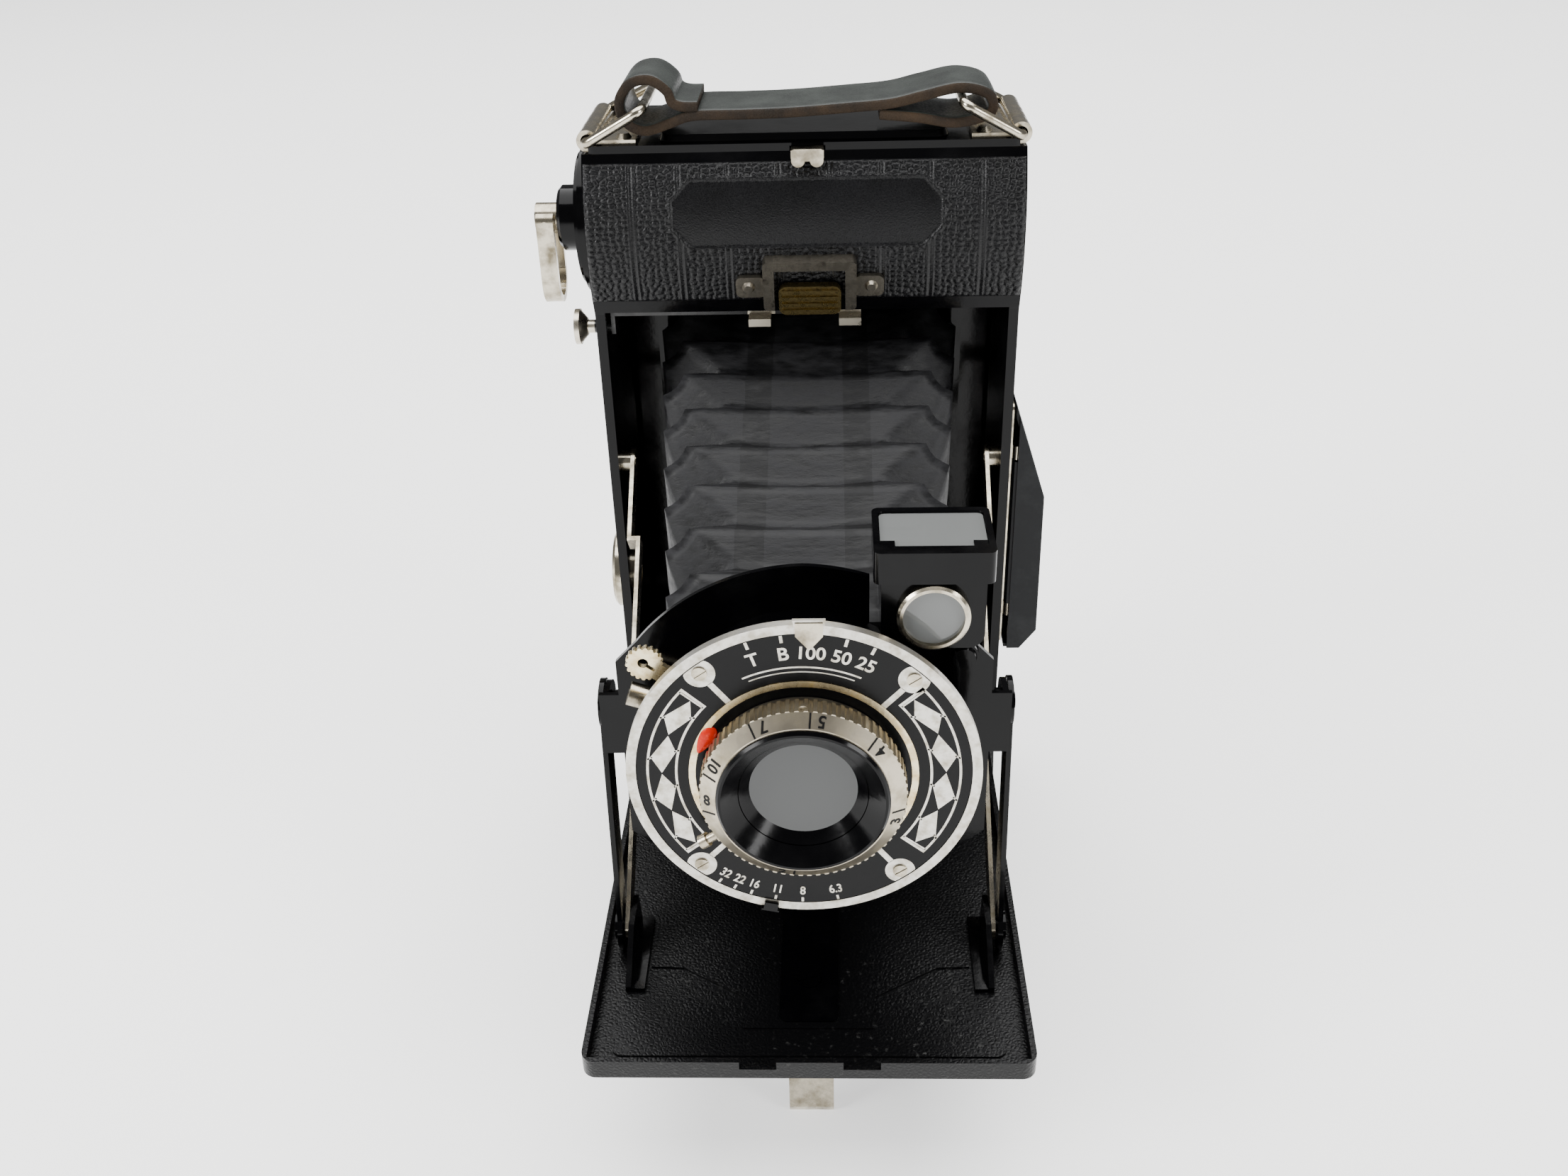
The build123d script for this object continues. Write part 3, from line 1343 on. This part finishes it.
pin_angle = math.radians(213)
pin_axis = Plane(
    origin=(ring_r * math.cos(pin_angle), ring_back - neck_depth - 1.3, lens_height + ring_r * math.sin(pin_angle)),
    z_dir=(math.cos(pin_angle), 0, math.sin(pin_angle)),
)
with BuildPart() as focus_ring:
    with BuildSketch(front(ring_back)):
        with Locations((0, lens_height)):
            Circle(ring_r)
            with PolarLocations(ring_r + 0.15, 72):
                Circle(0.45, mode=Mode.SUBTRACT)
    extrude(amount=knurl_depth)
    with BuildSketch(front(ring_back)):
        with Locations((0, lens_height)):
            Circle(ring_r + 1)
            Circle(ring_r - 0.9, mode=Mode.SUBTRACT)
    extrude(amount=neck_depth, mode=Mode.SUBTRACT)
    with BuildSketch(front(ring_back - knurl_depth)):
        with Locations((0, lens_height)):
            Circle(ring_r - 0.2)
    extrude(amount=ring_depth - knurl_depth, taper=ring_slope)
    with BuildSketch(front(ring_back)):
        with Locations((0, lens_height)):
            Circle(tube_r + fit)
    extrude(amount=ring_depth, mode=Mode.SUBTRACT)
    # finger pin
    for r, near, far in ((0.8, -0.3, 2.4), (1.2, 2.2, 3.6)):
        with BuildSketch(pin_axis.offset(near)):
            Circle(r)
        extrude(amount=far - near)
save(focus_ring, "focus_ring")

with BuildPart() as front_cell:
    for r, start, end in (
        (tube_bore - slack, face_back - 0.5, tube_front - 0.2),
        (tube_r - 0.1, tube_front - 0.2, ring_front),
        (bezel_r, ring_front, cell_front),
    ):
        with BuildSketch(front(start)):
            with Locations((0, lens_height)):
                Circle(r)
        extrude(amount=start - end)
    chamfer(front_cell.faces().sort_by(Axis.Y)[0].edges(), 0.4)
    with BuildSketch(front(face_back)):
        with Locations((0, lens_height)):
            Circle(glass_r)
    extrude(amount=face_back - glass_front, mode=Mode.SUBTRACT)
    with BuildSketch(front(glass_front)):
        with Locations((0, lens_height)):
            Circle(glass_r)
    with BuildSketch(front(cell_front)):
        with Locations((0, lens_height)):
            Circle(bezel_r - 0.8)
    loft(mode=Mode.SUBTRACT)
save(front_cell, "front_cell")

with BuildPart() as front_lens:
    with BuildSketch(front(face_back - 0.5)):
        with Locations((0, lens_height)):
            Circle(glass_r)
    extrude(amount=face_back - 0.5 - glass_front)
save(front_lens, "front_lens")

with BuildPart() as shutter_blades:
    with BuildSketch(front(-76.6)):
        with Locations((0, lens_height)):
            Circle(case_bore)
    extrude(amount=0.4)
    # iris in front of the closed blades
    with BuildSketch(front(-77.0)):
        with Locations((0, lens_height)):
            Circle(case_bore)
            Circle(7.0, mode=Mode.SUBTRACT)
    extrude(amount=1.6)
    with BuildSketch(front(-78.2)):
        with Locations((0, lens_height)):
            Circle(9.0)
            Circle(4.6, mode=Mode.SUBTRACT)
    extrude(amount=0.4)
save(shutter_blades, "shutter_blades")

with BuildPart() as rear_lens:
    with BuildSketch(front(rear_end - 1.5)):
        with Locations((0, lens_height)):
            Circle(9.0)
    extrude(amount=2.6)
save(rear_lens, "rear_lens")


# ---------------------------------------------------------------- reflex finder on the standard
finder_x = 20.4
finder_low_w, finder_top_w = 16.2, 18.6
finder_y0, finder_y1 = -77.0, -63.4
hood_y0, hood_y1 = -78.0, -62.9
hood_z0, hood_z1 = 114.6, 120.0
eye_z = 108.7
finder_wall = 0.8

with BuildPart() as reflex_body:
    with BuildSketch(front(finder_y1)):
        with Locations((finder_x, (finder_floor_z + hood_z0) / 2)):
            Rectangle(finder_low_w, hood_z0 - finder_floor_z)
    extrude(amount=finder_y1 - finder_y0)
    fillet(reflex_body.edges().filter_by(Axis.Y).group_by(Axis.Z)[0], 2.6)
    # the part behind the standard stays clear of the bellows
    with BuildSketch(Plane.XY.offset(finder_floor_z - 1)):
        with Locations((finder_x, (standard_y + finder_y1) / 2 + 0.6)):
            Rectangle(finder_low_w + 2, finder_y1 - standard_y)
    extrude(amount=4, mode=Mode.SUBTRACT)
    with BuildSketch(front(finder_y1 - finder_wall)):
        with Locations((finder_x, (finder_floor_z + hood_z0) / 2 + finder_wall)):
            Rectangle(finder_low_w - 2 * finder_wall - 1.6, hood_z0 - finder_floor_z)
    extrude(amount=finder_y1 - finder_y0 - 2 * finder_wall, mode=Mode.SUBTRACT)
    with BuildSketch(front(finder_y0 + 2)):
        with Locations((finder_x, eye_z)):
            Circle(4.8)
    extrude(amount=4, mode=Mode.SUBTRACT)
    # lug down to the pivot on the standard
    with BuildSketch(front(standard_y - 0.4)):
        with Locations(finder_pivot):
            Circle(2.5)
        with Locations((finder_pivot[0] - 0.6, (finder_pivot[1] + finder_floor_z) / 2 + 0.4)):
            Rectangle(3.6, finder_floor_z - finder_pivot[1] + 0.4)
        with Locations(finder_pivot):
            Circle(rivet_r - 0.4 + fit, mode=Mode.SUBTRACT)
    extrude(amount=0.9)
    # hood
    with BuildSketch(Plane.XY.offset(hood_z0)):
        with Locations((finder_x, (hood_y0 + hood_y1) / 2)):
            RectangleRounded(finder_top_w, hood_y1 - hood_y0, 1.2)
    extrude(amount=hood_z1 - hood_z0)
    with BuildSketch(Plane.XY.offset(hood_z0)):
        with Locations((finder_x, (hood_y0 + hood_y1) / 2)):
            Rectangle(finder_low_w - 3.0, hood_y1 - hood_y0 - 5)
    extrude(amount=hood_z1 - hood_z0, mode=Mode.SUBTRACT)
    with BuildSketch(Plane.XY.offset(hood_z1 - 1.4)):
        with Locations((finder_x, (hood_y0 + hood_y1) / 2 + 0.6)):
            RectangleRounded(finder_top_w - 2.0, hood_y1 - hood_y0 - 3.6, 1.0)
    extrude(amount=2, mode=Mode.SUBTRACT)
save(reflex_body, "reflex_body")

with BuildPart() as reflex_top_lens:
    with BuildSketch(Plane.XY.offset(hood_z1 - 1.4)):
        with Locations((finder_x, (hood_y0 + hood_y1) / 2 + 0.6)):
            RectangleRounded(finder_top_w - 2.2, hood_y1 - hood_y0 - 3.8, 1.0)
    extrude(amount=1.0)
save(reflex_top_lens, "reflex_top_lens")

with BuildPart() as reflex_objective_ring:
    with BuildSketch(front(finder_y0)):
        with Locations((finder_x, eye_z)):
            Circle(5.7)
            Circle(4.8, mode=Mode.SUBTRACT)
    extrude(amount=1.6)
    chamfer(reflex_objective_ring.edges().group_by(Axis.Y)[0].sort_by(SortBy.LENGTH)[-1], 0.4)
save(reflex_objective_ring, "reflex_objective_ring")

with BuildPart() as reflex_objective:
    with BuildSketch(front(finder_y0 + finder_wall)):
        with Locations((finder_x, eye_z)):
            Circle(4.8)
    extrude(amount=1.6)
save(reflex_objective, "reflex_objective")

with BuildPart() as reflex_mirror:
    with BuildSketch(side(finder_x - 6.3)):
        Polygon(
            (finder_y0 + 4.0, finder_floor_z + 2.2), (finder_y0 + 5.2, finder_floor_z + 2.2),
            (finder_y1 - 0.8, finder_floor_z + 10.6), (finder_y1 - 0.8, finder_floor_z + 11.8), align=None,
        )
    extrude(amount=12.6)
save(reflex_mirror, "reflex_mirror")
